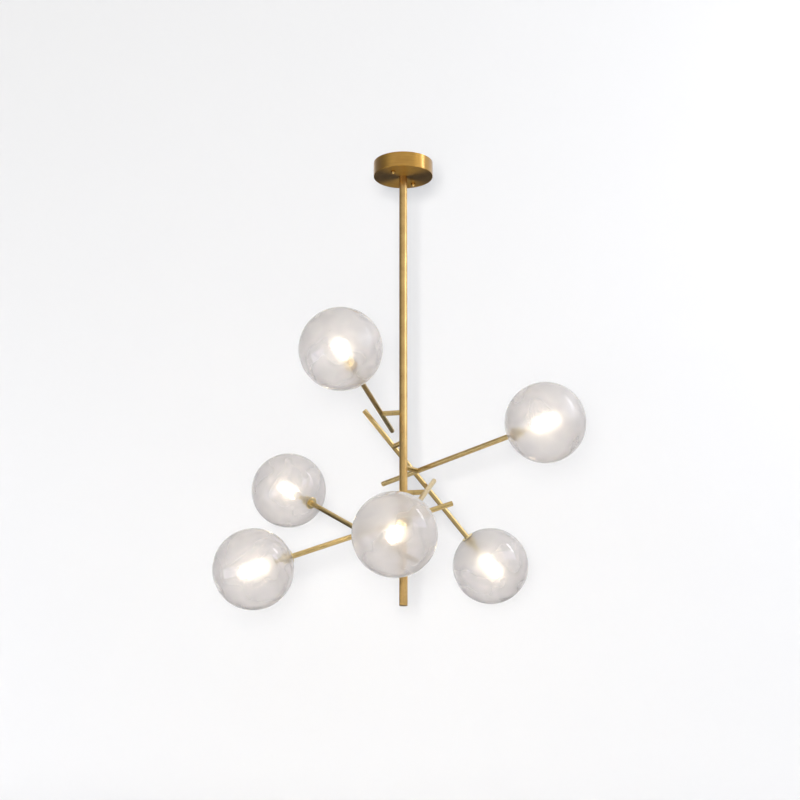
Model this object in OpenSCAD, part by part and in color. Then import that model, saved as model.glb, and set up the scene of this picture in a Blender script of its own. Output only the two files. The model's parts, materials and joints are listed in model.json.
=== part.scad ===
// Branch chandelier: clear glass globes on swivelling brass arms, on one stem under a round canopy.
// Millimetres. The origin is on the ceiling plane, on the stem's axis. +Z is up, +X right, +Y to the back.
// Each branch has a fixed post out of the stem. The arm's hub turns on the post's journal, and the arm
// crosses the stub's axis square, with a short tail on one side and its globe on the other.

/* [Ceiling strap] */
// Length of the strap that is screwed to the ceiling
strap_len = 100; // [92:1:112]
// Width of the strap
strap_w = 20; // [18:1:24]
// Thickness of the strap
strap_t = 2.5; // [2:0.5:4]
// Heading of the strap round the stem's axis, in degrees
strap_heading = 58; // [0:1:180]
// Distance between the two ceiling screw holes
screw_pitch = 52; // [44:1:60]
// Diameter of the ceiling screw holes
screw_hole_d = 5; // [4:0.5:6]
// Diameter of the cable hole in the middle of the strap
cable_hole_d = 14; // [10:1:16]
// Distance between the two studs that carry the canopy
stud_pitch = 76; // [72:1:84]
// Diameter of each stud
stud_d = 4; // [3:0.5:5]
// Width across the flats of each cap nut
cap_nut_af = 8; // [7:0.5:10]
// Height of each cap nut
cap_nut_h = 7; // [6:0.5:9]

/* [Canopy] */
// Outer diameter of the canopy
canopy_d = 120; // [118:1:160]
// Height of the canopy
canopy_h = 30; // [28:1:60]
// Wall of the canopy
canopy_wall = 1.5; // [1:0.1:2]
// Radius of the canopy's lower edge
canopy_edge_r = 1.2; // [0.8:0.1:1.4]

/* [Stem] */
// Outer diameter of the stem
stem_d = 16; // [14:0.5:22]
// Wall of the stem
stem_wall = 1.5; // [1:0.1:2]
// Length of the stem below the canopy, with its end cap
stem_len = 870; // [700:5:1500]
// Height of the end cap that shows below the tube
end_cap_h = 8; // [4:0.5:16]
// Length of the fittings pushed into the stem's ends
plug_len = 15; // [10:1:20]
// Diameter of the threaded nipple at the stem's top
nipple_d = 10; // [8:0.5:12]
// Bore of the nipple
nipple_bore = 7; // [5:0.5:7.5]
// Width across the flats of the nipple's nut
nipple_nut_af = 17; // [15:1:22]
// Height of the nipple's nut
nipple_nut_h = 5; // [4:0.5:6]

/* [Wiring] */
// Length of the terminal block
block_len = 24; // [18:1:30]
// Width of the terminal block
block_w = 14; // [10:1:16]
// Height of the terminal block
block_h = 11; // [8:1:13]
// Distance of the terminal block from the stem's axis
block_offset = 32; // [28:1:38]
// Diameter of the bundle of leads in the stem
bundle_d = 4; // [3:0.5:4.5]
// Diameter of the lead into each stub
lead_d = 2; // [1.4:0.1:2.4]

/* [Branches] */
// Height of each branch above the stem's lower end, from the top branch down
branch_rise = [377, 318, 268, 217, 160, 108]; // [60:1:460]
// Heading of each stub round the stem, in degrees
branch_heading = [167, 116, 50, -12, -79, -132]; // [-180:1:180]
// Turn of each arm about its stub, in degrees
branch_tilt = [8, 226, 171, 205, 200, 152]; // [0:1:360]
// Distance from the stem's axis to the arm's axis
stub_reach = 44; // [42:1:60]
// Length of the post that shows between the stem and the swivel
post_len = 13; // [8:1:14]
// Diameter of the swivel's journal
journal_d = 5; // [4.6:0.1:5.4]
// Bore of the post and its journal, for the lead
post_bore = 2.8; // [2.6:0.1:3.2]
// Length of the hub's running bore
hub_bore_len = 6; // [4:0.5:6.5]
// Thickness of the swivel's friction washer
washer_t = 0.5; // [0.3:0.1:1]
// Width across the flats of the swivel's nut
swivel_nut_af = 6.8; // [6.6:0.1:7]
// Height of the swivel's nut
swivel_nut_h = 3; // [2:0.5:3.5]

/* [Arms] */
// Outer diameter of the arms and stubs
arm_d = 10; // [10:0.2:12]
// Wall of the arm tube
arm_wall = 1; // [0.8:0.1:1.2]
// Distance from the stub's axis to the globe's centre
arm_reach = 308; // [200:1:360]
// Length of the tail behind the stub's axis
tail_len = 92; // [40:1:120]
// Thickness of the closed end of the tail
tail_end_t = 3; // [2:0.5:6]
// Chamfer round the tail's end
tail_chamfer = 0.6; // [0.3:0.1:1]

/* [Globes] */
// Outer diameter of the globes
globe_d = 150; // [130:1:180]
// Wall of the glass
glass_t = 1.8; // [1.2:0.1:3]
// Diameter of the hole in the glass
neck_hole_d = 21; // [20.6:0.1:22]

/* [Neck fittings] */
// Diameter of the flange outside the glass
flange_d = 24; // [23:0.5:36]
// Thickness of the flange
flange_t = 1; // [0.6:0.1:3]
// Diameter of the plug inside the glass
plug_d = 20; // [19:0.2:20.4]
// Length of the plug inside the glass
neck_plug_len = 17; // [14:0.5:22]
// Length of the small cone where the arm enters
neck_cone_h = 1.5; // [1:0.5:8]
// Depth of the arm's socket in the neck fitting
arm_socket_len = 5; // [4:0.5:6]
// Thickness of the spring ring's wire
clip_wire_d = 2; // [1.6:0.1:2.4]
// Opening of the spring ring, in degrees
clip_opening = 30; // [20:1:60]
// Diameter of the lamp rod
rod_d = 8; // [7:0.2:8.4]
// Wall of the lamp rod
rod_wall = 1; // [0.8:0.1:1.5]
// Length of the rod that is held at each end
rod_hold = 4; // [3:0.5:5]

/* [Lamps] */
// Length of the ceramic lampholder
holder_len = 16; // [15:1:22]
// Diameter of the lampholder where the bulb goes in
holder_front_d = 17; // [16:0.5:20]
// Diameter of the lampholder where the rod goes in
holder_back_d = 11; // [10.5:0.5:14]
// Diameter of the bulb
bulb_d = 20; // [16:0.5:20]
// Length of the bulb's glass
bulb_len = 50; // [36:1:56]
// Distance from the globe's centre forward to the middle of the bulb
bulb_shift = 2; // [0:0.5:6]
// Diameter of the bulb's base
bulb_base_d = 13; // [12:0.2:13.6]
// Depth of the bulb's base in the lampholder
bulb_base_h = 3; // [2:0.5:3.5]
// Distance between the bulb's two pins
pin_pitch = 6; // [5:0.2:7]
// Diameter of each pin
pin_d = 2; // [1.4:0.1:2.4]
// Length of each pin
pin_len = 6; // [5:0.5:6.5]

/* [Hidden] */
$fn = 64;
// clearance on the radius of parts that are pushed, screwed or brazed together
fit = 0.05;
// running clearance of the swivels, on the radius and along the axis
running = 0.05;
// gap between parts that pass each other loosely
slack = 0.25;
// how far a cut runs past what it cuts, and a joined shape into its neighbour
eps = 1;

stem_top = -canopy_h;
stem_bottom = stem_top - stem_len;
tube_bottom = stem_bottom + end_cap_h;
stem_bore = stem_d - 2 * stem_wall;
floor_top = stem_top + canopy_wall;
nut_top = floor_top + nipple_nut_h;

// the swivel, along the stub's axis from the stem's axis
shoulder = stem_d / 2 + post_len;
hub_face = shoulder + washer_t + running;
hub_step = hub_face + hub_bore_len;
nut_face = hub_step + running;
journal_end = nut_face + swivel_nut_h + slack;
hub_cavity_d = swivel_nut_af / cos(30) + 2 * slack;
lead_way_d = post_bore + 3;

// the neck, along the arm's axis from the globe's centre back towards the stub
globe_r = globe_d / 2;
glass_r = globe_r - glass_t;
neck_seat = sqrt(pow(globe_r, 2) - pow(neck_hole_d / 2, 2)) + slack;
flange_back = neck_seat + flange_t;
neck_back = flange_back + neck_cone_h;
arm_end = neck_back - arm_socket_len;
plug_front = neck_seat - neck_plug_len;
clip_r = plug_d / 2 + clip_wire_d * 0.35;
clip_at = sqrt(pow(glass_r - clip_wire_d / 2 - slack, 2) - pow(clip_r, 2));

// the lamp, along the same axis
bulb_back = bulb_len / 2 - bulb_shift;
bulb_tip = bulb_back - bulb_len;
holder_front = bulb_back + slack;
holder_back = holder_front + holder_len;

BRANCHES = [0:len(branch_rise) - 1];

// ---- frames ----

// the stub of branch k: X runs out along its axis from the stem's axis
module at_stub(k) {
    translate([0, 0, stem_bottom + branch_rise[k]]) rotate([0, 0, branch_heading[k]]) children();
}

// the arm of branch k: Z runs along the arm to the globe from the stub's axis
module at_arm(k) {
    at_stub(k) translate([stub_reach, 0, 0]) rotate([branch_tilt[k] - 90, 0, 0]) children();
}

// the globe of branch k: Z runs from its centre back along the arm
module at_globe(k) {
    at_arm(k) translate([0, 0, arm_reach]) rotate([180, 0, 0]) children();
}

// the strap: X runs along it from the stem's axis
module at_strap() {
    rotate([0, 0, strap_heading]) children();
}

// the terminal block's side of the canopy: X runs square to the strap
module at_block() {
    rotate([0, 0, strap_heading + 90]) children();
}

// ---- round shapes between two places on an axis ----

module bar_x(d, from, to) {
    translate([from, 0, 0]) rotate([0, 90, 0]) cylinder(d = d, h = to - from);
}

module bar_z(d, from, to) {
    translate([0, 0, from]) cylinder(d = d, h = to - from);
}

module cone_z(d_from, d_to, from, to) {
    translate([0, 0, from]) cylinder(d1 = d_from, d2 = d_to, h = to - from);
}

module hexagon_z(af, from, to) {
    translate([0, 0, from]) cylinder(d = af / cos(30), h = to - from, $fn = 6);
}

// a ring of round wire about the Z axis
module ring_z(wire_d, ring_r, at, turn = 360) {
    translate([0, 0, at]) rotate_extrude(angle = turn) translate([ring_r, 0]) circle(d = wire_d);
}

// two copies, half a pitch to each side along X
module pair(pitch) {
    for (side = [-1, 1]) {
        translate([side * pitch / 2, 0, 0]) children();
    }
}

// ---- ceiling fixing and canopy ----

module ceiling_bracket() {
    color("silver") at_strap() difference() {
        intersection() {
            translate([-strap_len / 2, -strap_w / 2, -strap_t]) cube([strap_len, strap_w, strap_t]);
            bar_z(strap_len, -strap_t - eps, eps);
        }
        bar_z(cable_hole_d, -strap_t - eps, eps);
        pair(screw_pitch) bar_z(screw_hole_d, -strap_t - eps, eps);
        pair(stud_pitch) bar_z(stud_d + 2 * fit, -strap_t - eps, eps);
    }
}

module bracket_studs() {
    color("silver") at_strap() pair(stud_pitch) bar_z(stud_d, stem_top - cap_nut_h / 2, -slack);
}

module cap_nuts() {
    nut_h = cap_nut_h * 0.45;
    dome_r = cap_nut_af / 2 - slack;
    color("#a9853f") at_strap() pair(stud_pitch) difference() {
        union() {
            hexagon_z(cap_nut_af, stem_top - nut_h, stem_top);
            intersection() {
                translate([0, 0, stem_top - cap_nut_h + dome_r]) sphere(r = dome_r);
                bar_z(cap_nut_af, stem_top - cap_nut_h - eps, stem_top - nut_h / 2);
            }
        }
        bar_z(stud_d + 2 * fit, stem_top - cap_nut_h / 2 - slack, stem_top + eps);
    }
}

module canopy() {
    edge_r = canopy_d / 2 - canopy_edge_r;
    edge_z = stem_top + canopy_edge_r;
    color("#b08d45") difference() {
        rotate_extrude() union() {
            translate([0, edge_z]) square([canopy_d / 2, -edge_z]);
            translate([0, stem_top]) square([edge_r, canopy_h / 2]);
            intersection() {
                translate([edge_r, edge_z]) circle(r = canopy_edge_r);
                translate([edge_r, stem_top]) square(canopy_edge_r);
            }
        }
        bar_z(canopy_d - 2 * canopy_wall, floor_top, eps);
        bar_z(nipple_d + 2 * slack, stem_top - eps, floor_top + eps);
        at_strap() pair(stud_pitch) bar_z(stud_d + 2 * slack, stem_top - eps, floor_top + eps);
    }
}

// ---- stem ----

module stem_nipple() {
    color("#b08d45") difference() {
        union() {
            bar_z(stem_bore - 2 * fit, stem_top - plug_len, stem_top);
            bar_z(nipple_d, stem_top - eps, nut_top + eps);
        }
        bar_z(nipple_bore, stem_top - plug_len - eps, nut_top + 2 * eps);
    }
}

module nipple_nut() {
    color("silver") difference() {
        hexagon_z(nipple_nut_af, floor_top, nut_top);
        bar_z(nipple_d + 2 * fit, floor_top - eps, nut_top + eps);
    }
}

module stem_tube() {
    color("#b08d45") difference() {
        bar_z(stem_d, tube_bottom, stem_top);
        bar_z(stem_bore, tube_bottom - eps, stem_top + eps);
        for (k = BRANCHES) {
            at_stub(k) bar_x(journal_d + 2 * fit, 0, stem_d);
        }
    }
}

module stem_end_cap() {
    edge = 0.8;
    color("#a9853f") union() {
        cone_z(stem_d - 2 * edge, stem_d, stem_bottom, stem_bottom + edge);
        bar_z(stem_d, stem_bottom + edge, tube_bottom);
        bar_z(stem_bore - 2 * fit, tube_bottom - eps, tube_bottom + plug_len);
    }
}

// ---- wiring ----

module terminal_block() {
    screws = 3;
    screw_d = 3;
    screw_depth = 3;
    color("ivory") at_block() translate([block_offset, 0, floor_top]) difference() {
        translate([-block_w / 2, -block_len / 2, 0]) cube([block_w, block_len, block_h]);
        for (i = [0:screws - 1]) {
            translate([block_w / 4, (i - (screws - 1) / 2) * block_len / screws, 0]) {
                bar_z(screw_d, block_h - screw_depth, block_h + eps);
            }
        }
    }
}

// a quarter bend of the bundle, from level at X = r down to upright at Z = -r
module bend(r) {
    translate([r, 0, -r]) rotate([90, 0, 0]) rotate([0, 0, 90]) {
        rotate_extrude(angle = 90) translate([r, 0]) circle(d = bundle_d);
    }
}

module stem_wiring() {
    bend_r = bundle_d;
    block_end = block_offset - block_w / 4;
    run_z = -strap_t - bundle_d;
    color("white") union() {
        at_block() {
            translate([0, 0, run_z]) {
                bend(bend_r);
                bar_x(bundle_d, bend_r, block_end - bend_r);
                translate([block_end, 0, 0]) rotate([0, 0, 180]) bend(bend_r);
            }
            translate([block_end, 0, 0]) bar_z(bundle_d, floor_top + block_h, run_z - bend_r);
            bar_z(bundle_d, stem_bottom + min(branch_rise) - bundle_d, run_z - bend_r);
        }
        for (k = BRANCHES) {
            at_stub(k) bar_x(lead_d, 0, journal_end);
        }
    }
}

// ---- stubs and swivels ----

module post(k) {
    color("#b08d45") at_stub(k) difference() {
        union() {
            difference() {
                bar_x(arm_d, 0, shoulder);
                bar_z(stem_d + 2 * fit, -arm_d, arm_d);
            }
            bar_x(journal_d, stem_bore / 2, stem_d / 2 + eps);
            bar_x(journal_d, shoulder - eps, journal_end);
        }
        bar_x(post_bore, 0, journal_end + eps);
    }
}

module swivel_washers() {
    color("dimgray") for (k = BRANCHES) {
        at_stub(k) difference() {
            bar_x(arm_d - 2 * slack, shoulder, shoulder + washer_t);
            bar_x(journal_d + 2 * fit, shoulder - eps, shoulder + washer_t + eps);
        }
    }
}

module swivel_nuts() {
    color("silver") for (k = BRANCHES) {
        at_stub(k) difference() {
            rotate([0, 90, 0]) hexagon_z(swivel_nut_af, nut_face, nut_face + swivel_nut_h);
            bar_x(journal_d + 2 * fit, nut_face - eps, journal_end + eps);
        }
    }
}

// ---- arms ----

module arm_tube(k) {
    tube_to = arm_reach - arm_end;
    color("#b08d45") difference() {
        union() {
            at_arm(k) {
                cone_z(arm_d - 2 * tail_chamfer, arm_d, -tail_len, tail_chamfer - tail_len);
                bar_z(arm_d, tail_chamfer - tail_len, tube_to);
            }
            at_stub(k) bar_x(arm_d, hub_face, stub_reach);
        }
        at_arm(k) bar_z(arm_d - 2 * arm_wall, tail_end_t - tail_len, tube_to + eps);
        at_stub(k) {
            bar_x(journal_d + 2 * running, hub_face - eps, hub_step + eps);
            bar_x(hub_cavity_d, hub_step, journal_end + eps);
            bar_x(lead_way_d, journal_end, stub_reach);
        }
    }
}

module neck_cap(k) {
    cone_foot_d = arm_d + 2;
    cone_tip_d = arm_d + 1;
    color("#a9853f") at_globe(k) difference() {
        union() {
            bar_z(flange_d, neck_seat, neck_seat + flange_t / 2);
            cone_z(flange_d, flange_d - flange_t, neck_seat + flange_t / 2, flange_back);
            cone_z(cone_foot_d, cone_tip_d, flange_back, neck_back);
            bar_z(plug_d, plug_front, neck_seat);
        }
        ring_z(clip_wire_d + 2 * fit, clip_r, clip_at);
        bar_z(arm_d + 2 * fit, arm_end - fit, neck_back + eps);
        bar_z(rod_d + 2 * fit, plug_front - eps, plug_front + rod_hold + fit);
        bar_z(rod_d - 2 * rod_wall, plug_front, neck_back);
    }
}

module clip_ring(k) {
    color("gold") at_globe(k) ring_z(clip_wire_d, clip_r, clip_at, 360 - clip_opening);
}

module lamp_rod(k) {
    color("#c9a85c") at_globe(k) difference() {
        bar_z(rod_d, holder_back - rod_hold, plug_front + rod_hold);
        bar_z(rod_d - 2 * rod_wall, holder_back - rod_hold - eps, plug_front + rod_hold + eps);
    }
}

module lampholder(k) {
    seat = holder_front + bulb_base_h + fit;
    color("white") at_globe(k) difference() {
        cone_z(holder_front_d, holder_back_d, holder_front, holder_back);
        bar_z(rod_d + 2 * fit, holder_back - rod_hold - fit, holder_back + eps);
        bar_z(bulb_base_d + 2 * slack, holder_front - eps, seat);
        pair(pin_pitch) bar_z(pin_d + 2 * slack, holder_front, seat + pin_len + slack);
    }
}

module bulb(k) {
    shoulder_h = 3;
    base_end = holder_front + bulb_base_h;
    color("#fff4d6") at_globe(k) union() {
        translate([0, 0, bulb_tip + bulb_d / 2]) sphere(d = bulb_d);
        bar_z(bulb_d, bulb_tip + bulb_d / 2, bulb_back - shoulder_h);
        cone_z(bulb_d, bulb_base_d, bulb_back - shoulder_h, bulb_back);
        bar_z(bulb_base_d, bulb_back - eps, base_end);
        pair(pin_pitch) bar_z(pin_d, holder_front, base_end + pin_len);
    }
}

module globe(k) {
    color("#e8eef2", 0.35) at_globe(k) difference() {
        sphere(r = globe_r, $fn = 128);
        sphere(r = glass_r, $fn = 128);
        bar_z(neck_hole_d, 0, globe_r + eps);
    }
}

ceiling_bracket();
bracket_studs();
cap_nuts();
canopy();
stem_nipple();
nipple_nut();
stem_tube();
stem_end_cap();
terminal_block();
stem_wiring();
swivel_washers();
swivel_nuts();
for (k = BRANCHES) {
    post(k);
    arm_tube(k);
    neck_cap(k);
    clip_ring(k);
    lamp_rod(k);
    lampholder(k);
    bulb(k);
    globe(k);
}
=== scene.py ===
"""Looks of the branch chandelier: finishes, small details and the studio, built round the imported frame.

Everything is in metres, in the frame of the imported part: the origin is on the ceiling plane, on the
stem's axis, with +Z up and +Y away from the camera.
"""

from __future__ import annotations

import json
import logging
import math
from dataclasses import dataclass, field
from enum import Enum

import bpy
from mathutils import Matrix, Vector


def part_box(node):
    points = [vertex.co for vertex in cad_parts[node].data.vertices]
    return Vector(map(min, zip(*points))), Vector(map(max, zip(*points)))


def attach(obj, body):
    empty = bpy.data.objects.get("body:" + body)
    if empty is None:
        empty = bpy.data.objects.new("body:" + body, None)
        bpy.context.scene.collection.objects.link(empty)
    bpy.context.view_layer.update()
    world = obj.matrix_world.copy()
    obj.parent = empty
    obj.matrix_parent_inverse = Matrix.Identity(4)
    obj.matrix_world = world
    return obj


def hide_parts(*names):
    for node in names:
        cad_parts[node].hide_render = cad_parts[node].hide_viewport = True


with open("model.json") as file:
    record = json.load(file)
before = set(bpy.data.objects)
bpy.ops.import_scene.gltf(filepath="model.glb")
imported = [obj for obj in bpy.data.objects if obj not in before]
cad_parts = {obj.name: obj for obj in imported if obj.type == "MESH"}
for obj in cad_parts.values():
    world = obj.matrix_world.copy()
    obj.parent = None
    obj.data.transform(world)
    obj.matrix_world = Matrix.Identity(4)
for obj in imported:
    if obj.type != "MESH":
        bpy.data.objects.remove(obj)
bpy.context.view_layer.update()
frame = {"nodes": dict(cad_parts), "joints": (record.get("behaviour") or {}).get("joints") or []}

MM = 0.001
MERGE_DISTANCE = 0.001 * MM
BLOCK_TOP = -17.5 * MM
GRAIN_SPAN = (0.3, 0.7)
LOG = logging.getLogger("branch_chandelier")
Colour = tuple[float, float, float, float]
WHITE: Colour = (1.0, 1.0, 1.0, 1.0)


# ---- colours and nodes ----


def linear(hex_colour: str) -> Colour:
    """Turn an sRGB hex colour into the linear colour that Blender's sockets hold.

    Args:
        hex_colour: The colour as "#rrggbb".

    Returns:
        Red, green, blue and alpha, with alpha 1.
    """
    # the standard sRGB curve: a straight foot, then a power
    foot_end, foot_slope, shift, power = 0.04045, 12.92, 0.055, 2.4
    channels = [int(hex_colour[i : i + 2], 16) / 255 for i in (1, 3, 5)]
    red, green, blue = [
        c / foot_slope if c <= foot_end else ((c + shift) / (1 + shift)) ** power for c in channels
    ]
    return red, green, blue, 1.0


def add(tree: bpy.types.NodeTree, kind: str, inputs: dict | None = None, **settings) -> bpy.types.Node:
    """Add a node to a tree, with its settings, its values and the links into it.

    Args:
        tree: The shader or geometry tree.
        kind: The node's Blender type.
        inputs: For each input, by name or number, a value or the output socket that feeds it.
        **settings: Properties of the node.

    Returns:
        The new node.
    """
    node = tree.nodes.new(kind)
    for name, value in settings.items():
        setattr(node, name, value)
    for key, value in (inputs or {}).items():
        if isinstance(value, bpy.types.NodeSocket):
            tree.links.new(value, node.inputs[key])
        else:
            node.inputs[key].default_value = value
    return node


def new_material(name: str) -> tuple[bpy.types.Material, bpy.types.NodeTree, bpy.types.Node]:
    """Make an empty node material.

    Args:
        name: The material's name.

    Returns:
        The material, its tree and its output node.
    """
    material = bpy.data.materials.new(name)
    material.use_nodes = True
    tree = material.node_tree
    tree.nodes.clear()
    return material, tree, add(tree, "ShaderNodeOutputMaterial")


def place_coordinates(tree: bpy.types.NodeTree, place: Matrix) -> bpy.types.NodeSocket:
    """Object coordinates as seen from a place on the object.

    Args:
        tree: The material's tree.
        place: The place's own frame in the row frame.

    Returns:
        The output with the local coordinates.
    """
    coordinates = add(tree, "ShaderNodeTexCoord")
    mapping = add(tree, "ShaderNodeMapping", {"Vector": coordinates.outputs["Object"]}, vector_type="TEXTURE")
    mapping.inputs["Location"].default_value = place.to_translation()
    mapping.inputs["Rotation"].default_value = place.to_euler()
    return mapping.outputs["Vector"]


def roughness_range(
    tree: bpy.types.NodeTree, grain: bpy.types.NodeSocket, middle: float, swing: float
) -> bpy.types.NodeSocket:
    """Roughness that follows a finish's grain.

    Args:
        tree: The material's tree.
        grain: The noise that it follows.
        middle: The middle roughness.
        swing: How far it goes up where the grain is strong, as a share; below zero it goes down there.

    Returns:
        The output with the roughness.
    """
    low, high = middle * (1 - swing), middle * (1 + swing)
    weak, strong = GRAIN_SPAN
    return add(tree, "ShaderNodeMapRange", {0: grain, 1: weak, 2: strong, 3: low, 4: high}).outputs[0]


# ---- places ----


@dataclass(frozen=True)
class Branch:
    """Where one branch sits, worked out from its joint and its globe."""

    number: int
    pivot: Vector
    stub: Vector
    globe: Vector

    @property
    def along(self) -> Vector:
        """Direction of the arm from the stub's axis to the globe."""
        return (self.globe - self.pivot).normalized()

    def arm_place(self) -> Matrix:
        """Frame of the arm: Z runs along it from the stub's axis."""
        return Matrix.Translation(self.pivot) @ self.along.to_track_quat("Z", "Y").to_matrix().to_4x4()

    def stub_place(self) -> Matrix:
        """Frame of the stub: Z runs along it from the stem outwards."""
        return Matrix.Translation(self.pivot) @ self.stub.to_track_quat("Z", "Y").to_matrix().to_4x4()


def find_branches() -> list[Branch]:
    """Read each branch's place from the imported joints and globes.

    Returns:
        The branches from the top one down.
    """
    branches = []
    for number, joint in enumerate(frame["joints"], start=1):
        low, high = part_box(f"globe_{number}")
        axis = Vector(joint["axis"]).normalized()
        branches.append(Branch(number, Vector(joint["pos_m"]), axis, (low + high) / 2))
    return branches


# ---- finishes ----


class BrushLay(Enum):
    """Which way the brush lines run on a brass piece."""

    ALONG = "along the piece's axis"
    ROUND = "round the piece's axis"


@dataclass(frozen=True)
class BrushedBrass:
    """Brass, brushed with a fine belt or turned on a lathe, and lacquered where its coat is above zero."""

    name: str
    colour: str
    shade: str
    roughness: float
    lay: BrushLay
    line_mm: float
    anisotropy: float
    coat: float = 0.0
    coat_roughness: float = 0.2
    line_aspect: float = 40.0
    turn_speed: float = 1.5
    groove_mm: float = 0.03
    groove_strength: float = 0.25
    tone_mm: float = 30.0
    tone_span: tuple[float, float] = (0.12, 0.42)
    roughness_swing: float = 0.15

    def material(self, label: str, place: Matrix) -> bpy.types.Material:
        """Make the finish for one piece.

        Args:
            label: The piece's name, added to the finish's own.
            place: The piece's frame, with Z along its axis.

        Returns:
            The material.
        """
        material, tree, output = new_material(f"{self.name}_{label}")
        local = place_coordinates(tree, place)
        axes = add(tree, "ShaderNodeSeparateXYZ", {0: local})
        flat = add(tree, "ShaderNodeCombineXYZ", {0: axes.outputs[0], 1: axes.outputs[1]})
        radius = add(tree, "ShaderNodeVectorMath", {0: flat.outputs[0]}, operation="LENGTH").outputs["Value"]
        outward = add(tree, "ShaderNodeVectorMath", {0: flat.outputs[0]}, operation="NORMALIZE").outputs[0]
        per_line = 1 / (self.line_mm * MM)
        if self.lay is BrushLay.ROUND:
            # the lines run round the axis, so the pattern moves fast along the profile and slowly round it
            profile = add(tree, "ShaderNodeMath", {0: radius, 1: axes.outputs[2]}, operation="ADD")
            swept = add(tree, "ShaderNodeMath", {0: profile.outputs[0], 1: per_line}, operation="MULTIPLY")
            slow = add(tree, "ShaderNodeVectorMath", {0: outward, 3: self.turn_speed}, operation="SCALE")
            lift = add(tree, "ShaderNodeCombineXYZ", {2: swept.outputs[0]})
            lines = add(tree, "ShaderNodeVectorMath", {0: slow.outputs[0], 1: lift.outputs[0]})
            turned = add(tree, "ShaderNodeVectorMath", {0: (0, 0, 1), 1: outward}, operation="CROSS_PRODUCT")
            lay = turned.outputs[0]
        else:
            # the lines run along the tube, each many times as long as it is wide
            stretch = (per_line, per_line, per_line / self.line_aspect)
            lines = add(tree, "ShaderNodeVectorMath", {0: local, 1: stretch}, operation="MULTIPLY")
            lay = add(tree, "ShaderNodeCombineXYZ", {2: 1.0}).outputs[0]
        back = add(tree, "ShaderNodeMapping", {"Vector": lay}, vector_type="VECTOR")
        back.inputs["Rotation"].default_value = place.to_euler()
        world = add(
            tree, "ShaderNodeVectorTransform", {0: back.outputs[0]},
            vector_type="VECTOR", convert_from="OBJECT", convert_to="WORLD",
        )
        # brushed metal draws a highlight out square to its lines
        normal = add(tree, "ShaderNodeNewGeometry").outputs["Normal"]
        tangent = add(
            tree, "ShaderNodeVectorMath", {0: normal, 1: world.outputs[0]}, operation="CROSS_PRODUCT"
        )
        grain = add(tree, "ShaderNodeTexNoise", {"Vector": lines.outputs[0], "Scale": 1.0, "Detail": 3.0})
        # the metal's tone also varies softly over a few centimetres
        tone_scale = 1 / (self.tone_mm * MM)
        tone = add(tree, "ShaderNodeTexNoise", {"Vector": local, "Scale": tone_scale, "Detail": 2.0})
        mixed = add(tree, "ShaderNodeMath", {0: grain.outputs[0], 1: tone.outputs[0]}, operation="MULTIPLY")
        dark, pale = self.tone_span
        share = add(tree, "ShaderNodeMapRange", {0: mixed.outputs[0], 1: dark, 2: pale, 3: 0.0, 4: 1.0})
        colour = add(
            tree, "ShaderNodeMix", {0: share.outputs[0], 6: linear(self.shade), 7: linear(self.colour)},
            data_type="RGBA",
        )
        rough = roughness_range(tree, grain.outputs[0], self.roughness, -self.roughness_swing)
        bump = add(
            tree, "ShaderNodeBump",
            {
                "Height": grain.outputs[0], "Strength": self.groove_strength,
                "Distance": self.groove_mm * MM,
            },
        )
        shader = add(
            tree, "ShaderNodeBsdfPrincipled",
            {
                "Base Color": colour.outputs[2], "Metallic": 1.0, "Roughness": rough,
                "Anisotropic": self.anisotropy, "Tangent": tangent.outputs[0], "Normal": bump.outputs[0],
                "Coat Weight": self.coat, "Coat Roughness": self.coat_roughness,
            },
        )
        tree.links.new(shader.outputs[0], output.inputs["Surface"])
        return material


@dataclass(frozen=True)
class Speckled:
    """A plain finish whose colour and roughness vary a little: plated steel, plastic, ceramic or fibre."""

    name: str
    colour: str
    shade: str
    roughness: float
    grain_mm: float
    metallic: float = 0.0
    bump_mm: float = 0.02
    bump_strength: float = 0.3
    roughness_swing: float = 0.2
    coat: float = 0.0
    coat_roughness: float = 0.1
    glow: str = "#000000"
    glow_strength: float = 0.0

    def material(self) -> bpy.types.Material:
        """Make the finish.

        Returns:
            The material.
        """
        material, tree, output = new_material(self.name)
        coordinates = add(tree, "ShaderNodeTexCoord").outputs["Object"]
        scale = 1 / (self.grain_mm * MM)
        grain = add(tree, "ShaderNodeTexNoise", {"Vector": coordinates, "Scale": scale, "Detail": 4.0})
        colour = add(
            tree, "ShaderNodeMix", {0: grain.outputs[0], 6: linear(self.shade), 7: linear(self.colour)},
            data_type="RGBA",
        )
        rough = roughness_range(tree, grain.outputs[0], self.roughness, self.roughness_swing)
        bump = add(
            tree, "ShaderNodeBump",
            {"Height": grain.outputs[0], "Strength": self.bump_strength, "Distance": self.bump_mm * MM},
        )
        shader = add(
            tree, "ShaderNodeBsdfPrincipled",
            {
                "Base Color": colour.outputs[2], "Metallic": self.metallic, "Roughness": rough,
                "Normal": bump.outputs[0],
                "Coat Weight": self.coat, "Coat Roughness": self.coat_roughness,
                "Emission Color": linear(self.glow), "Emission Strength": self.glow_strength,
            },
        )
        tree.links.new(shader.outputs[0], output.inputs["Surface"])
        return material


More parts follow.
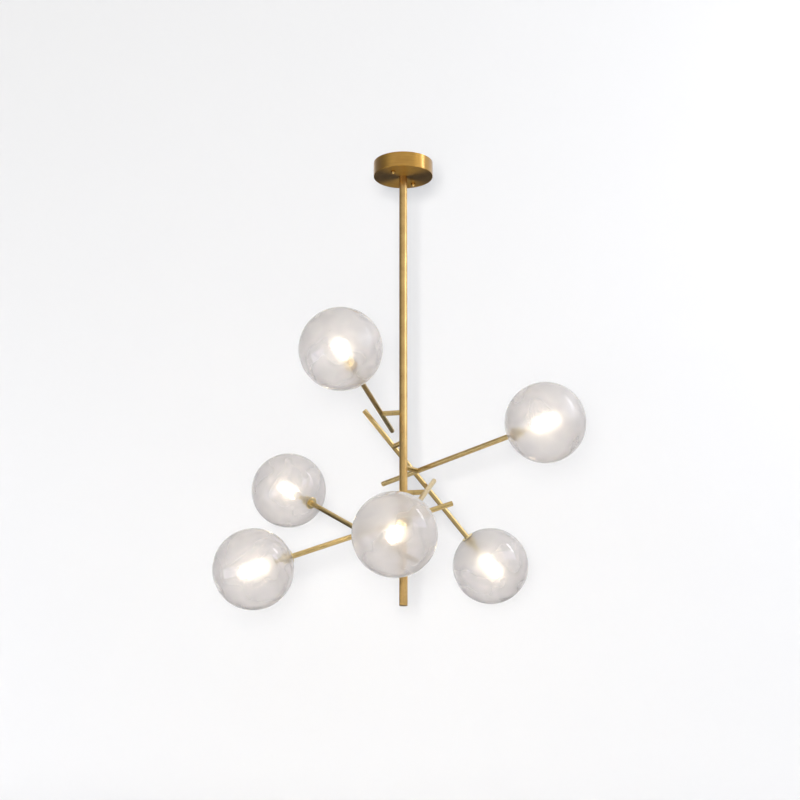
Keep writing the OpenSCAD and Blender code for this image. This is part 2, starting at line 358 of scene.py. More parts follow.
@dataclass(frozen=True)
class BlownGlass:
    """Clear soda-lime glass, blown into a round mould: faintly wavy and tinted, with soft patches of haze."""

    name: str
    tint: str
    shadow_tint: str
    wave_mm: float
    wave_height_mm: float
    clearness: float
    haze: float
    haze_share: tuple[float, float]
    cloud_mm: float
    polish: float = 0.06
    ior: float = 1.5
    cloud_span: tuple[float, float] = (0.35, 0.65)

    def material(self) -> bpy.types.Material:
        """Make the finish.

        Returns:
            The material.
        """
        material, tree, output = new_material(self.name)
        coordinates = add(tree, "ShaderNodeTexCoord").outputs["Object"]
        scale = 1 / (self.wave_mm * MM)
        waves = add(tree, "ShaderNodeTexNoise", {"Vector": coordinates, "Scale": scale, "Detail": 0.0})
        bump = add(
            tree, "ShaderNodeBump",
            {"Height": waves.outputs[0], "Strength": 1.0, "Distance": self.wave_height_mm * MM},
        )
        sharp, soft = [
            add(
                tree, "ShaderNodeBsdfPrincipled",
                {
                    "Base Color": linear(self.tint), "Roughness": roughness, "IOR": self.ior,
                    "Transmission Weight": self.clearness, "Normal": bump.outputs[0],
                },
            )
            for roughness in (self.polish, self.haze)
        ]
        scale = 1 / (self.cloud_mm * MM)
        clouds = add(tree, "ShaderNodeTexNoise", {"Vector": coordinates, "Scale": scale, "Detail": 1.0})
        thin, thick = self.cloud_span
        low, high = self.haze_share
        share = add(
            tree, "ShaderNodeMapRange", {0: clouds.outputs[0], 1: thin, 2: thick, 3: low, 4: high}
        )
        glass = add(
            tree, "ShaderNodeMixShader", {0: share.outputs[0], 1: sharp.outputs[0], 2: soft.outputs[0]}
        )
        # the lamps light what is inside straight through the glass
        open_path = add(tree, "ShaderNodeBsdfTransparent", {0: linear(self.shadow_tint)})
        path = add(tree, "ShaderNodeLightPath")
        both = add(
            tree, "ShaderNodeMixShader",
            {0: path.outputs["Is Shadow Ray"], 1: glass.outputs[0], 2: open_path.outputs[0]},
        )
        tree.links.new(both.outputs[0], output.inputs["Surface"])
        return material


# partly painted shade: the canopy's deeper, more orange brass also stands in for the warm double reflections
# of the brass in itself
CANOPY_BRASS = BrushedBrass(
    "brushed_canopy_brass", colour="#d2a245", shade="#b98834", roughness=0.36,
    lay=BrushLay.ROUND, line_mm=0.8, anisotropy=0.9, coat=0.8,
)
STEM_BRASS = BrushedBrass(
    "satin_stem_brass", colour="#d8b473", shade="#bf9b5f", roughness=0.3,
    lay=BrushLay.ALONG, line_mm=0.5, anisotropy=0.6, coat=0.3,
)
ARM_BRASS = BrushedBrass(
    "satin_arm_brass", colour="#dcc083", shade="#c9ad72", roughness=0.28,
    lay=BrushLay.ALONG, line_mm=0.5, anisotropy=0.5, coat=0.3,
)
# partly painted light: this very pale cream also stands in for the lamps' glow washing over the rods and neck
# caps inside the globes
TURNED_BRASS = BrushedBrass(
    "turned_brass", colour="#f3e4b8", shade="#e6d29c", roughness=0.2,
    lay=BrushLay.ROUND, line_mm=0.4, anisotropy=0.4,
)
POLISHED_BRASS = BrushedBrass(
    "polished_brass", colour="#dcb56c", shade="#c79c52", roughness=0.1,
    lay=BrushLay.ROUND, line_mm=0.6, anisotropy=0.1,
)
ZINC_STEEL = Speckled(
    "zinc_plated_steel", colour="#c4c8cc", shade="#9ea4a8", roughness=0.34, grain_mm=4.0, metallic=1.0
)
SPRING_WIRE = Speckled(
    "brass_plated_spring_wire", colour="#d6b46f", shade="#b8924d", roughness=0.22, grain_mm=3.0,
    metallic=1.0,
)
FIBRE = Speckled(
    "vulcanised_fibre", colour="#3d3a38", shade="#2a2726", roughness=0.7, grain_mm=0.6, bump_mm=0.05
)
CERAMIC = Speckled(
    "glazed_steatite", colour="#f1eee6", shade="#e6e1d6", roughness=0.18, grain_mm=1.5, coat=0.4
)
PLASTIC = Speckled(
    "moulded_polyamide", colour="#e9e6dc", shade="#dcd8cc", roughness=0.45, grain_mm=0.8
)
OPAL_LAMP = Speckled(
    "lit_opal_lamp_glass", colour="#fffaf0", shade="#fff6e6", roughness=0.4, grain_mm=2.0,
    glow="#ffeecf", glow_strength=20.0,
)
LEAD_COLOURS = {
    "brown": Speckled(
        "lead_insulation_brown", colour="#6b4428", shade="#5a3820", roughness=0.4, grain_mm=0.6
    ),
    "blue": Speckled(
        "lead_insulation_blue", colour="#3f6fb0", shade="#35609a", roughness=0.4, grain_mm=0.6
    ),
    "green": Speckled(
        "lead_insulation_green", colour="#5f9a4a", shade="#c8c04a", roughness=0.4, grain_mm=4.0
    ),
}
GLASS = BlownGlass(
    "clear_blown_glass", tint="#eae8e8", shadow_tint="#f4f4f4", wave_mm=50.0, wave_height_mm=0.02,
    clearness=0.93, haze=0.44, haze_share=(0.13, 0.3), cloud_mm=60.0,
)


# ---- meshes ----


def finished(name: str, source: bpy.types.Object, place: Matrix) -> bpy.types.Object:
    """Turn an object with Geometry Nodes into a plain mesh at its place.

    Args:
        name: The new object's name.
        source: The object that carries the modifier; it is removed.
        place: Where the mesh goes, in the row frame.

    Returns:
        An object at the origin with its place in its mesh.
    """
    bpy.context.view_layer.update()
    evaluated = source.evaluated_get(bpy.context.evaluated_depsgraph_get())
    mesh = bpy.data.meshes.new_from_object(evaluated)
    mesh.transform(place)
    bpy.data.objects.remove(source)
    mesh.name = name
    result = bpy.data.objects.new(name, mesh)
    bpy.context.scene.collection.objects.link(result)
    return result


@dataclass
class GeometryTree:
    """A Geometry Nodes tree with named inputs, that ends in realised instances and a material."""

    name: str
    sizes: dict[str, float]
    counts: dict[str, int] = field(default_factory=dict)

    def __post_init__(self) -> None:
        """Open the tree and its interface."""
        self.tree = bpy.data.node_groups.new(self.name, "GeometryNodeTree")
        face = self.tree.interface
        face.new_socket("Geometry", in_out="INPUT", socket_type="NodeSocketGeometry")
        face.new_socket("Geometry", in_out="OUTPUT", socket_type="NodeSocketGeometry")
        for name in self.sizes:
            face.new_socket(name, in_out="INPUT", socket_type="NodeSocketFloat")
        for name in self.counts:
            face.new_socket(name, in_out="INPUT", socket_type="NodeSocketInt")
        face.new_socket("Finish", in_out="INPUT", socket_type="NodeSocketMaterial")
        self.entry = self.tree.nodes.new("NodeGroupInput")

    def value(self, name: str) -> bpy.types.NodeSocket:
        """The output that carries a named input."""
        return self.entry.outputs[name]

    def math(self, operation: str, a: object, b: object = 0.0) -> bpy.types.NodeSocket:
        """The result of one sum in the tree.

        Args:
            operation: Blender's name for it.
            a: First value or socket.
            b: Second value or socket.

        Returns:
            The output socket.
        """
        return add(self.tree, "ShaderNodeMath", {0: a, 1: b}, operation=operation).outputs[0]

    def row(
        self, piece: bpy.types.NodeSocket, axis: int, turn: bpy.types.NodeSocket | None = None
    ) -> bpy.types.NodeSocket:
        """Copies of a piece in a row about the origin: "Count" of them, "Spacing" apart.

        Args:
            piece: The piece to copy.
            axis: The row's axis: 0 for X or 1 for Y.
            turn: Each copy's own rotation, or None.

        Returns:
            The output with the instances.
        """
        step = add(self.tree, "ShaderNodeCombineXYZ", {axis: self.value("Spacing")})
        gaps = self.math("SUBTRACT", self.value("Count"), 1.0)
        first = self.math("MULTIPLY", self.value("Spacing"), self.math("MULTIPLY", gaps, -0.5))
        start = add(self.tree, "ShaderNodeCombineXYZ", {axis: first})
        points = add(
            self.tree, "GeometryNodeMeshLine",
            {"Count": self.value("Count"), "Offset": step.outputs[0], "Start Location": start.outputs[0]},
        )
        inputs = {"Points": points.outputs[0], "Instance": piece}
        if turn is not None:
            inputs["Rotation"] = turn
        return add(self.tree, "GeometryNodeInstanceOnPoints", inputs).outputs[0]

    def close(self, shape: bpy.types.NodeSocket) -> None:
        """End the tree: realise what is instanced and give it the finish.

        Args:
            shape: The geometry so far.
        """
        real = add(self.tree, "GeometryNodeRealizeInstances", {0: shape})
        painted = add(
            self.tree, "GeometryNodeSetMaterial",
            {"Geometry": real.outputs[0], "Material": self.value("Finish")},
        )
        self.tree.links.new(painted.outputs[0], self.tree.nodes.new("NodeGroupOutput").inputs[0])

    def make(
        self, name: str, finish: bpy.types.Material, place: Matrix, base: bpy.types.ID | None = None
    ) -> bpy.types.Object:
        """Run the tree once and keep the result as a plain mesh.

        Args:
            name: The piece's name.
            finish: Its material.
            place: Its place in the row frame.
            base: A curve or mesh that the tree starts from, or None for an empty mesh.

        Returns:
            The finished object.
        """
        source = bpy.data.objects.new(f"{name}_source", base or bpy.data.meshes.new(name))
        bpy.context.scene.collection.objects.link(source)
        modifier = source.modifiers.new(self.name, "NODES")
        modifier.node_group = self.tree
        values = {**self.sizes, **self.counts, "Finish": finish}
        for item in self.tree.interface.items_tree:
            if item.in_out == "INPUT" and item.name in values:
                modifier[item.identifier] = values[item.name]
        return finished(name, source, place)


def thread_tree(
    name: str, diameter: float, pitch: float, length: float, spacing: float, count: int
) -> GeometryTree:
    """A row of rods with a rolled screw thread.

    Args:
        name: The tree's name.
        diameter: Diameter over the thread.
        pitch: Distance from thread to thread.
        length: Length of each rod, from Z = 0 up.
        spacing: Distance between neighbouring rods, along X.
        count: How many rods.

    Returns:
        The tree.
    """
    # a rolled metric thread is some 0.6 of its pitch deep
    depth_share, rows_per_turn = 0.6, 6
    depth = pitch * depth_share
    made = GeometryTree(
        name,
        {"Diameter": diameter, "Pitch": pitch, "Length": length, "Spacing": spacing, "Depth": depth},
        {"Count": count, "Around": 20, "Rows": round(length / pitch * rows_per_turn) + 1},
    )
    tree, value, math_ = made.tree, made.value, made.math
    sheet = add(
        tree, "GeometryNodeMeshGrid",
        {"Size X": 1.0, "Size Y": 1.0, "Vertices X": value("Around"), "Vertices Y": value("Rows")},
    )
    axes = add(tree, "ShaderNodeSeparateXYZ", {0: add(tree, "GeometryNodeInputPosition").outputs[0]})
    turn = math_("ADD", axes.outputs[0], 0.5)
    height = math_("MULTIPLY", math_("ADD", axes.outputs[1], 0.5), value("Length"))
    wave = math_("PINGPONG", math_("SUBTRACT", math_("DIVIDE", height, value("Pitch")), turn), 0.5)
    groove = math_("MULTIPLY", math_("MULTIPLY", wave, 2.0), value("Depth"))
    radius = math_("SUBTRACT", math_("DIVIDE", value("Diameter"), 2.0), groove)
    # the first and the last row shrink to a point, which closes the ends
    just_inside = 0.4999
    inside = math_("LESS_THAN", math_("ABSOLUTE", axes.outputs[1]), just_inside)
    radius = math_("MULTIPLY", radius, inside)
    angle = math_("MULTIPLY", turn, math.tau)
    point = add(
        tree, "ShaderNodeCombineXYZ",
        {
            0: math_("MULTIPLY", radius, math_("COSINE", angle)),
            1: math_("MULTIPLY", radius, math_("SINE", angle)),
            2: height,
        },
    )
    rolled = add(
        tree, "GeometryNodeSetPosition", {"Geometry": sheet.outputs[0], "Position": point.outputs[0]}
    )
    closed = add(
        tree, "GeometryNodeMergeByDistance", {"Geometry": rolled.outputs[0], "Distance": MERGE_DISTANCE}
    )
    made.close(made.row(closed.outputs[0], axis=0))
    return made


def lead_tree(name: str, diameter: float, ring: float, lay_length: float, phase: float) -> GeometryTree:
    """One insulated lead of a twisted bundle, wound round the route that the tree starts from.

    Args:
        name: The tree's name.
        diameter: Diameter over the insulation.
        ring: Distance of the lead from the middle of the bundle.
        lay_length: Length of one full twist.
        phase: The lead's own place in the twist, in radians.

    Returns:
        The tree.
    """
    sizes = {"Diameter": diameter, "Ring": ring, "Lay": lay_length, "Phase": phase, "Step": 1.5 * MM}
    made = GeometryTree(name, sizes)
    tree, value, math_ = made.tree, made.value, made.math
    route = add(
        tree, "GeometryNodeResampleCurve", {"Curve": value("Geometry"), "Length": value("Step")},
        mode="LENGTH",
    )
    along = add(tree, "GeometryNodeSplineParameter").outputs["Length"]
    turns = math_("MULTIPLY", math_("DIVIDE", along, value("Lay")), math.tau)
    angle = math_("ADD", turns, value("Phase"))
    normal = add(tree, "GeometryNodeInputNormal").outputs[0]
    tangent = add(tree, "GeometryNodeInputTangent").outputs[0]
    side = add(tree, "ShaderNodeVectorMath", {0: tangent, 1: normal}, operation="CROSS_PRODUCT")
    out = add(
        tree, "ShaderNodeVectorMath",
        {0: normal, 3: math_("MULTIPLY", value("Ring"), math_("COSINE", angle))}, operation="SCALE",
    )
    across = add(
        tree, "ShaderNodeVectorMath",
        {0: side.outputs[0], 3: math_("MULTIPLY", value("Ring"), math_("SINE", angle))}, operation="SCALE",
    )
    offset = add(tree, "ShaderNodeVectorMath", {0: out.outputs[0], 1: across.outputs[0]})
    wound = add(
        tree, "GeometryNodeSetPosition", {"Geometry": route.outputs[0], "Offset": offset.outputs[0]}
    )
    profile = add(
        tree, "GeometryNodeCurvePrimitiveCircle",
        {"Resolution": 8, "Radius": math_("DIVIDE", value("Diameter"), 2.0)},
    )
    lead = add(
        tree, "GeometryNodeCurveToMesh",
        {"Curve": wound.outputs[0], "Profile Curve": profile.outputs[0], "Fill Caps": True},
    )
    made.close(lead.outputs[0])
    return made


def screw_tree(
    name: str, diameter: float, height: float, slot: float, spacing: float, count: int
) -> GeometryTree:
    """A row of slotted screw heads.

    Args:
        name: The tree's name.
        diameter: Diameter of each head.
        height: Height of each head.
        slot: Width of its slot.
        spacing: Distance between neighbouring heads, along Y.
        count: How many heads.

    Returns:
        The tree.
    """
    # the slot's floor is a little above the head's middle, and no two slots point the same way
    cutter_lift, most_turn = 0.6, 1.2
    sizes = {"Diameter": diameter, "Height": height, "Slot": slot, "Spacing": spacing}
    made = GeometryTree(name, sizes, {"Count": count})
    tree, value, math_ = made.tree, made.value, made.math
    body = add(
        tree, "GeometryNodeMeshCylinder",
        {"Vertices": 32, "Radius": math_("DIVIDE", value("Diameter"), 2.0), "Depth": value("Height")},
    )
    size = add(
        tree, "ShaderNodeCombineXYZ",
        {0: math_("MULTIPLY", value("Diameter"), 2.0), 1: value("Slot"), 2: value("Height")},
    )
    blade = add(tree, "GeometryNodeMeshCube", {"Size": size.outputs[0]})
    lift = add(tree, "ShaderNodeCombineXYZ", {2: math_("MULTIPLY", value("Height"), cutter_lift)})
    raised = add(
        tree, "GeometryNodeTransform", {"Geometry": blade.outputs[0], "Translation": lift.outputs[0]}
    )
    head = add(
        tree, "GeometryNodeMeshBoolean", {0: body.outputs[0], 1: raised.outputs[0]}, operation="DIFFERENCE"
    )
    turn = add(
        tree, "FunctionNodeRandomValue", {0: (0, 0, -most_turn), 1: (0, 0, most_turn), "Seed": 4},
        data_type="FLOAT_VECTOR",
    )
    made.close(made.row(head.outputs[0], axis=1, turn=turn.outputs[0]))
    return made


def dress(node: str, material: bpy.types.Material) -> None:
    """Give a CAD node its finish and report it.

    Args:
        node: The node's name.
        material: The finish.
    """
    slots = frame["nodes"][node].data.materials
    for index in range(len(slots)):
        slots[index] = material
    LOG.info("dressed %s in %s", node, material.name)


# ---- sub-assemblies ----


@dataclass
class CeilingFixing:
    """The strap on the ceiling, its studs and cap nuts, and the terminal block beside it."""

    strap_heading: float = math.radians(58)
    stud_pitch: float = 76 * MM
    stud_d: float = 4 * MM
    stud_top: float = -0.25 * MM
    stud_end: float = -33.5 * MM
    stud_count: int = 2
    thread_pitch: float = 0.7 * MM
    block_offset: float = 32 * MM
    block_w: float = 14 * MM
    block_len: float = 24 * MM
    screw_d: float = 2.8 * MM
    screw_height: float = 2.2 * MM
    screw_slot: float = 0.6 * MM
    screw_depth: float = 1.8 * MM
    screw_count: int = 3

    def strap_place(self) -> Matrix:
        """Frame of the strap: X runs along it."""
        return Matrix.Rotation(self.strap_heading, 4, "Z")

    def block_place(self) -> Matrix:
        """Frame of the terminal block's side: X runs square to the strap."""
        return Matrix.Rotation(self.strap_heading + math.pi / 2, 4, "Z")

    def build(self) -> None:
        """Build the threaded studs and the terminal screws."""
        zinc = ZINC_STEEL.material()
        dress("ceiling_bracket", zinc)
        dress("nipple_nut", zinc)
        dress("swivel_nuts", zinc)
        length = self.stud_top - self.stud_end
        tree = thread_tree(
            "rolled_stud_thread", self.stud_d, self.thread_pitch, length, self.stud_pitch, self.stud_count
        )
        place = self.strap_place() @ Matrix.Translation((0, 0, self.stud_end))
        studs = tree.make("threaded_studs", zinc, place)
        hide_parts("bracket_studs")
        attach(studs, "stem")
        LOG.info("built %s", studs.name)
        screws_tree = screw_tree(
            "terminal_screw_row", self.screw_d, self.screw_height, self.screw_slot,
            self.block_len / self.screw_count, self.screw_count,
        )
        at = Matrix.Translation((self.block_offset + self.block_w / 4, 0, BLOCK_TOP - self.screw_depth))
        screws = screws_tree.make("terminal_screws", zinc, self.block_place() @ at)
        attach(screws, "stem")
        LOG.info("built %s", screws.name)

    def dress(self) -> None:
        """Finish the block and the two cap nuts."""
        dress("terminal_block", PLASTIC.material())
        dress("cap_nuts", POLISHED_BRASS.material("cap_nuts", Matrix.Identity(4)))


class Stem:
    """The canopy, the stem tube, the fittings in its ends and the washers in the stubs' seams."""

    def dress(self) -> None:
        """Finish the canopy, the tube, the fittings and the washers."""
        upright = Matrix.Identity(4)
        dress("canopy", CANOPY_BRASS.material("canopy", upright))
        dress("stem_tube", STEM_BRASS.material("stem_tube", upright))
        dress("stem_nipple", TURNED_BRASS.material("stem_ends", upright))
        dress("stem_end_cap", STEM_BRASS.material("stem_end_cap", upright))
        dress("swivel_washers", FIBRE.material())


@dataclass
class Wiring:
    """Three insulated leads, twisted together, from the terminal block down the stem to the branches."""

    heading: float = math.radians(148)
    run_z: float = -6.5 * MM
    bend_r: float = 4 * MM
    bend_steps: int = 8
    block_end: float = 28.5 * MM
    lead_d: float = 1.7 * MM
    lay_length: float = 32 * MM
    lowest: float = -796 * MM
    lead_reach: float = 30.85 * MM

    def route(self, branches: list[Branch]) -> bpy.types.Curve:
        """The middle line of the bundle and of each branch's lead.

        Args:
            branches: The branches, for their heights and headings.

        Returns:
            A curve with one spline for the bundle and one for each branch.
        """
        # up from the block, across under the strap and down the stem, with a round bend at either end
        r, z = self.bend_r, self.run_z
        quarter = [math.pi / 2 * i / self.bend_steps for i in range(self.bend_steps + 1)]
        main = [(self.block_end, BLOCK_TOP)]
        main += [(self.block_end - r + r * math.cos(a), z - r + r * math.sin(a)) for a in quarter]
        main += [(r - r * math.cos(a), z - r + r * math.sin(a)) for a in reversed(quarter)]
        main += [(0.0, self.lowest)]
        across = Matrix.Rotation(self.heading, 4, "Z")
        runs = [[across @ Vector((x, 0, height)) for x, height in main]]
        for branch in branches:
            start = Vector((0, 0, branch.pivot.z))
            runs.append([start, start + branch.stub * self.lead_reach])
        curve = bpy.data.curves.new("lead_route", "CURVE")
        curve.dimensions = "3D"
        for run in runs:
            spline = curve.splines.new("POLY")
            spline.points.add(len(run) - 1)
            for point, place in zip(spline.points, run):
                point.co = (*place, 1.0)
        return curve

    def build(self, branches: list[Branch]) -> None:
        """Build the three leads in place of the plain bundle.

        Args:
            branches: The branches that the leads go out to.
        """
        ring = self.lead_d / 2 / math.sin(math.pi / 3)
        for index, (name, finish) in enumerate(LEAD_COLOURS.items()):
            phase = math.tau * index / len(LEAD_COLOURS)
            tree = lead_tree(f"twisted_{name}_lead", self.lead_d, ring, self.lay_length, phase)
            lead = tree.make(f"{name}_lead", finish.material(), Matrix.Identity(4), self.route(branches))
            for polygon in lead.data.polygons:
                polygon.use_smooth = True
            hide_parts("stem_wiring")
            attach(lead, "stem")
            LOG.info("built %s", lead.name)


@dataclass
class BranchSet:
    """The six swivelling branches: posts, arms, neck fittings, lamps and globes."""

    branches: list[Branch]

    def dress(self) -> None:
        """Finish every piece of every branch."""
        glass, ceramic, lamp, wire = [f.material() for f in (GLASS, CERAMIC, OPAL_LAMP, SPRING_WIRE)]
        for branch in self.branches:
            k = branch.number
            dress(f"post_{k}", ARM_BRASS.material(f"post_{k}", branch.stub_place()))
            dress(f"arm_tube_{k}", ARM_BRASS.material(f"arm_{k}", branch.arm_place()))
            turned = TURNED_BRASS.material(f"branch_{k}", branch.arm_place())
            dress(f"neck_cap_{k}", turned)
            dress(f"lamp_rod_{k}", turned)
            dress(f"clip_ring_{k}", wire)
            dress(f"lampholder_{k}", ceramic)
            dress(f"bulb_{k}", lamp)
            dress(f"globe_{k}", glass)


# ---- studio ----


@dataclass(frozen=True)
class Softbox:
    """One soft rectangular lamp, which metal and glass mirror only where "mirrored" is set."""

    name: str
    place: tuple[float, float, float]
    aim: tuple[float, float, float]
    size: tuple[float, float]
    watts: float
    colour: str
    mirrored: bool

    def hang(self) -> None:
        """Hang the lamp. The camera sees its light, but not the lamp itself."""
        data = bpy.data.lights.new(self.name, "AREA")
        data.shape, data.size, data.size_y = "RECTANGLE", *self.size
        data.energy, data.color = self.watts, linear(self.colour)[:3]
        lamp = bpy.data.objects.new(self.name, data)
        lamp.location = self.place
        turn = (Vector(self.aim) - Vector(self.place)).to_track_quat("-Z", "Y")
        lamp.rotation_euler = turn.to_euler()
        lamp.visible_camera = False
        lamp.visible_glossy = self.mirrored
        # a lamp that shone through the glass would make its haze glow white, seen from the other side
        lamp.visible_transmission = False
        bpy.context.scene.collection.objects.link(lamp)
        LOG.info("hung %s", self.name)


@dataclass
class Studio:
    """A pale paper sweep behind and below, the lamps, the room that metal mirrors, and the camera."""

    camera_place: tuple[float, float, float] = (0.0, -2.9698, -1.2858)
    camera_turn: tuple[float, float, float] = (104.857, 0.0, 0.125)
    focal_px: float = 1572.99
    image_px: float = 800.0
    sensor_mm: float = 36.0
    backdrop: str = "#f7f7f7"
    wall_y: float = 0.5
    floor_z: float = -1.45
    sweep_half_width: float = 1.5
    sweep_top: float = 1.3
    sweep_front: float = -3.5
    sweep_bend: float = 0.3
    sweep_steps: int = 16
    paper_white: float = 0.8
    ambient: float = 0.46
    # the room: how bright it is by height, from the left to the right, on its wall behind and in front
    room_side: tuple[float, float] = (0.32, 1.4)
    room_levels: tuple[tuple[float, float], ...] = (
        (0.0, 1.0), (0.14, 0.9), (0.24, 0.03), (0.36, 0.03), (0.5, 0.4), (0.8, 1.0),
    )
    room_wall: float = 0.85
    wall_depth: tuple[float, float] = (0.5, 0.85)
    wall_height: tuple[float, float] = (-0.3, -0.1)
    room_front: tuple[float, float] = (0.55, 0.9)
    front_depth: tuple[float, float] = (-0.8, -0.3)
    front_height: tuple[float, float] = (-0.5, 0.5)
    lamp_aim: tuple[float, float, float] = (0.0, -0.05, -0.6)
    key_place: tuple[float, float, float] = (-0.08, -3.2, -1.22)
    key_tone: float = 0.42

    def camera(self) -> None:
        """Make the camera at the photograph's place and angle."""
        data = bpy.data.cameras.new("camera")
        data.sensor_width = self.sensor_mm
        data.lens = self.focal_px / self.image_px * self.sensor_mm
        data.clip_end = 50.0
        camera = bpy.data.objects.new("camera", data)
        camera.location = self.camera_place
        camera.rotation_euler = [math.radians(a) for a in self.camera_turn]
        bpy.context.scene.collection.objects.link(camera)
        bpy.context.scene.camera = camera

    def background_rays(self, tree: bpy.types.NodeTree) -> bpy.types.NodeSocket:
        """Tell the rays that show a background from those that carry light.

        Args:
            tree: The tree of the world or the paper.

        Returns:
            The output that is 1 for camera, glossy and transmission rays.
        """
        path = add(tree, "ShaderNodeLightPath")
        first = add(
            tree, "ShaderNodeMath", {0: path.outputs["Is Camera Ray"], 1: path.outputs["Is Glossy Ray"]},
            operation="MAXIMUM",
        )
        both = add(
            tree, "ShaderNodeMath", {0: first.outputs[0], 1: path.outputs["Is Transmission Ray"]},
            operation="MAXIMUM",
        )
        return both.outputs[0]

    def room(self, tree: bpy.types.NodeTree) -> bpy.types.NodeSocket:
        """Brightness, by direction, of the soft room that metal and glass mirror.

        It is bright high up, to the right and in front. It has a dark band low down, a pale floor under
        that and a pale wall behind.

        Args:
            tree: The world's tree.

        Returns:
            The output with the brightness.
        """
        direction = add(tree, "ShaderNodeTexCoord").outputs["Generated"]
        x, y, z = add(tree, "ShaderNodeSeparateXYZ", {0: direction}).outputs

        def span(
            value: bpy.types.NodeSocket, start: float, end: float, low: float, high: float
        ) -> bpy.types.NodeSocket:
            """A value that goes from low to high while another one goes from start to end."""
            return add(tree, "ShaderNodeMapRange", {0: value, 1: start, 2: end, 3: low, 4: high}).outputs[0]

        def math_(operation: str, a: bpy.types.NodeSocket, b: bpy.types.NodeSocket) -> bpy.types.NodeSocket:
            """The result of one sum."""
            return add(tree, "ShaderNodeMath", {0: a, 1: b}, operation=operation, use_clamp=True).outputs[0]

        # the ramp's places run from 0, straight down, to 1, straight up
        height = add(tree, "ShaderNodeValToRGB", {0: span(z, -1.0, 1.0, 0.0, 1.0)})
        stops = height.color_ramp.elements
        first, *middle, last = self.room_levels
        stops[0].position, stops[1].position = first[0], last[0]
        for place, _ in middle:
            stops.new(place)
        for stop, (_, tone) in zip(stops, self.room_levels):
            stop.color = (tone, tone, tone, 1.0)
        side = math_("MULTIPLY", span(x, -1.0, 1.0, *self.room_side), height.outputs[0])
        wall = math_(
            "MULTIPLY", span(y, *self.wall_depth, 0.0, self.room_wall), span(z, *self.wall_height, 0.0, 1.0)
        )
        back = math_("MAXIMUM", side, wall)
        front = span(z, *self.front_height, *self.room_front)
        share = span(y, *self.front_depth, 1.0, 0.0)
        return add(tree, "ShaderNodeMix", {0: share, 2: back, 3: front}).outputs[0]

    def world(self) -> None:
        """Make the world: pale where it is seen, a soft room to metal, and an even light on the object."""
        world = bpy.data.worlds.new("studio_air")
        world.use_nodes = True
        tree = world.node_tree
        tree.nodes.clear()
        light = add(tree, "ShaderNodeBackground", {0: WHITE, 1: self.ambient})
        seen = add(tree, "ShaderNodeBackground", {0: linear(self.backdrop), 1: 1.0})
        open_view = add(
            tree, "ShaderNodeMixShader",
            {0: self.background_rays(tree), 1: light.outputs[0], 2: seen.outputs[0]},
        )
        room = add(tree, "ShaderNodeBackground", {0: WHITE, 1: self.room(tree)})
        both = add(
            tree, "ShaderNodeMixShader",
            {
                0: add(tree, "ShaderNodeLightPath").outputs["Is Glossy Ray"],
                1: open_view.outputs[0], 2: room.outputs[0],
            },
        )
        output = add(tree, "ShaderNodeOutputWorld")
        tree.links.new(both.outputs[0], output.inputs["Surface"])
        bpy.context.scene.world = world

    def paper(self) -> bpy.types.Material:
        """Pale seamless paper: nearly even where it is seen, and it keeps a soft shadow.

        Returns:
            The material.
        """
        material, tree, output = new_material("seamless_paper")
        white, fall_off = self.paper_white, 4.0
        matte = add(tree, "ShaderNodeBsdfDiffuse", {0: (white, white, white, 1.0)})
        # the front lamp's light falls off with the fourth power of the distance, and this evens it out
        place = add(tree, "ShaderNodeNewGeometry").outputs["Position"]
        distance = add(tree, "ShaderNodeVectorMath", {0: place, 1: self.key_place}, operation="DISTANCE")
        nearest = self.wall_y - self.key_place[1]
        ratio = add(tree, "ShaderNodeMath", {0: nearest, 1: distance.outputs["Value"]}, operation="DIVIDE")
        kept = add(tree, "ShaderNodeMath", {0: ratio.outputs[0], 1: fall_off}, operation="POWER")
        lost = {0: kept.outputs[0], 1: 1.0, 2: 0.0, 3: 0.0, 4: self.key_tone}
        lift = add(tree, "ShaderNodeMapRange", lost)
        even = add(tree, "ShaderNodeEmission", {0: linear(self.backdrop), 1: lift.outputs[0]})
        seen = add(tree, "ShaderNodeAddShader", {0: matte.outputs[0], 1: even.outputs[0]})
        front = add(
            tree, "ShaderNodeMixShader",
            {0: self.background_rays(tree), 1: matte.outputs[0], 2: seen.outputs[0]},
        )
        # the sweep has one face: from behind it the view is open
        behind = add(tree, "ShaderNodeNewGeometry").outputs["Backfacing"]
        clear = add(tree, "ShaderNodeBsdfTransparent")
        both = add(tree, "ShaderNodeMixShader", {0: behind, 1: front.outputs[0], 2: clear.outputs[0]})
        tree.links.new(both.outputs[0], output.inputs["Surface"])
        return material

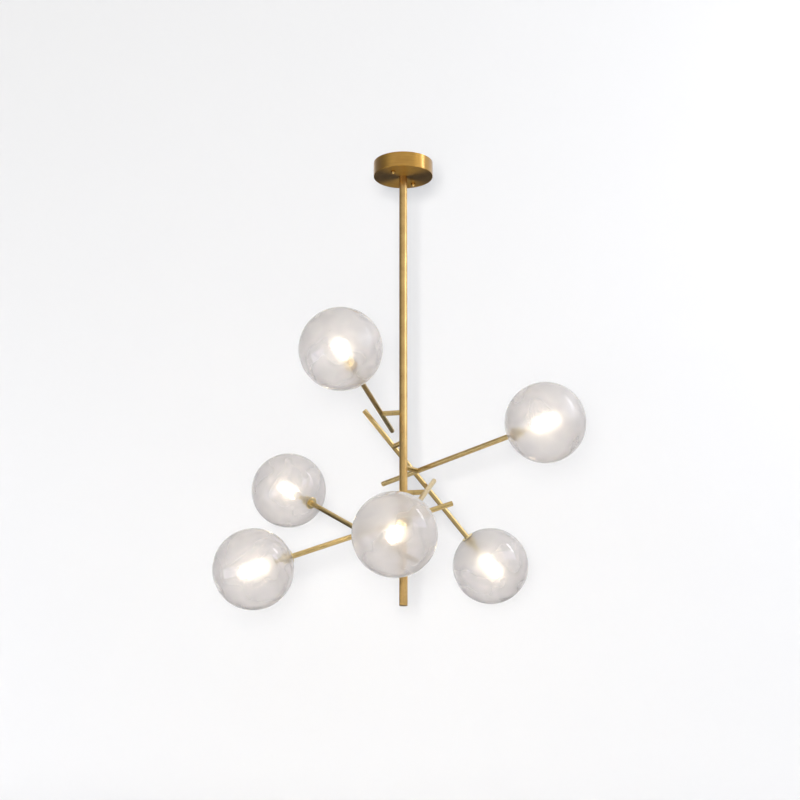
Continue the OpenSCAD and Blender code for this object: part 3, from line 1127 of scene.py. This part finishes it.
    def sweep(self) -> None:
        """Build the floor and the wall as one bent sheet."""
        corner_y, corner_z = self.wall_y - self.sweep_bend, self.floor_z + self.sweep_bend
        profile = [(self.sweep_front, self.floor_z), (corner_y, self.floor_z)]
        for i in range(1, self.sweep_steps):
            a = math.pi / 2 * i / self.sweep_steps
            bend_y, bend_z = self.sweep_bend * math.sin(a), self.sweep_bend * math.cos(a)
            profile.append((corner_y + bend_y, corner_z - bend_z))
        profile += [(self.wall_y, corner_z), (self.wall_y, self.sweep_top)]
        points = [(x, y, z) for y, z in profile for x in (-self.sweep_half_width, self.sweep_half_width)]
        faces = [(2 * i, 2 * i + 1, 2 * i + 3, 2 * i + 2) for i in range(len(profile) - 1)]
        mesh = bpy.data.meshes.new("paper_sweep")
        mesh.from_pydata(points, [], faces)
        mesh.materials.append(self.paper())
        for polygon in mesh.polygons:
            polygon.use_smooth = True
        sweep = bpy.data.objects.new("paper_sweep", mesh)
        sweep.visible_glossy = False
        bpy.context.scene.collection.objects.link(sweep)

    def lamps(self) -> list[Softbox]:
        """Plan the lamps: two softboxes and a strip at the sides, and one in front that casts the shadow.

        Returns:
            The lamps, in the order in which they are hung.
        """
        key_x, _, key_z = self.key_place
        return [
            Softbox(
                "right_softbox", place=(1.9, -0.9, 0.1), aim=self.lamp_aim, size=(1.6, 0.9),
                watts=9.0, colour="#e2eaff", mirrored=True,
            ),
            Softbox(
                "right_strip", place=(1.86, -0.28, 0.72), aim=self.lamp_aim, size=(0.3, 0.9),
                watts=5.5, colour="#f6f8ff", mirrored=True,
            ),
            Softbox(
                "left_softbox", place=(-1.83, -0.9, -1.2), aim=self.lamp_aim, size=(1.6, 0.7),
                watts=8.0, colour="#e8eeff", mirrored=True,
            ),
            Softbox(
                "front_key", place=self.key_place, aim=(key_x, 0.0, key_z), size=(0.33, 0.33),
                watts=66.0, colour="#fffdfa", mirrored=False,
            ),
        ]

    def build(self) -> None:
        """Set up the whole studio."""
        bpy.context.scene.view_settings.view_transform = "Standard"
        self.camera()
        self.world()
        self.sweep()
        for lamp in self.lamps():
            lamp.hang()


def main() -> None:
    """Build and dress the chandelier, then set up the studio."""
    logging.basicConfig(level=logging.INFO, format="%(name)s: %(message)s")
    branches = find_branches()
    fixing = CeilingFixing()
    fixing.build()
    fixing.dress()
    Stem().dress()
    Wiring().build(branches)
    BranchSet(branches).dress()
    Studio().build()
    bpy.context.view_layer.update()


if __name__ == "__main__":
    main()
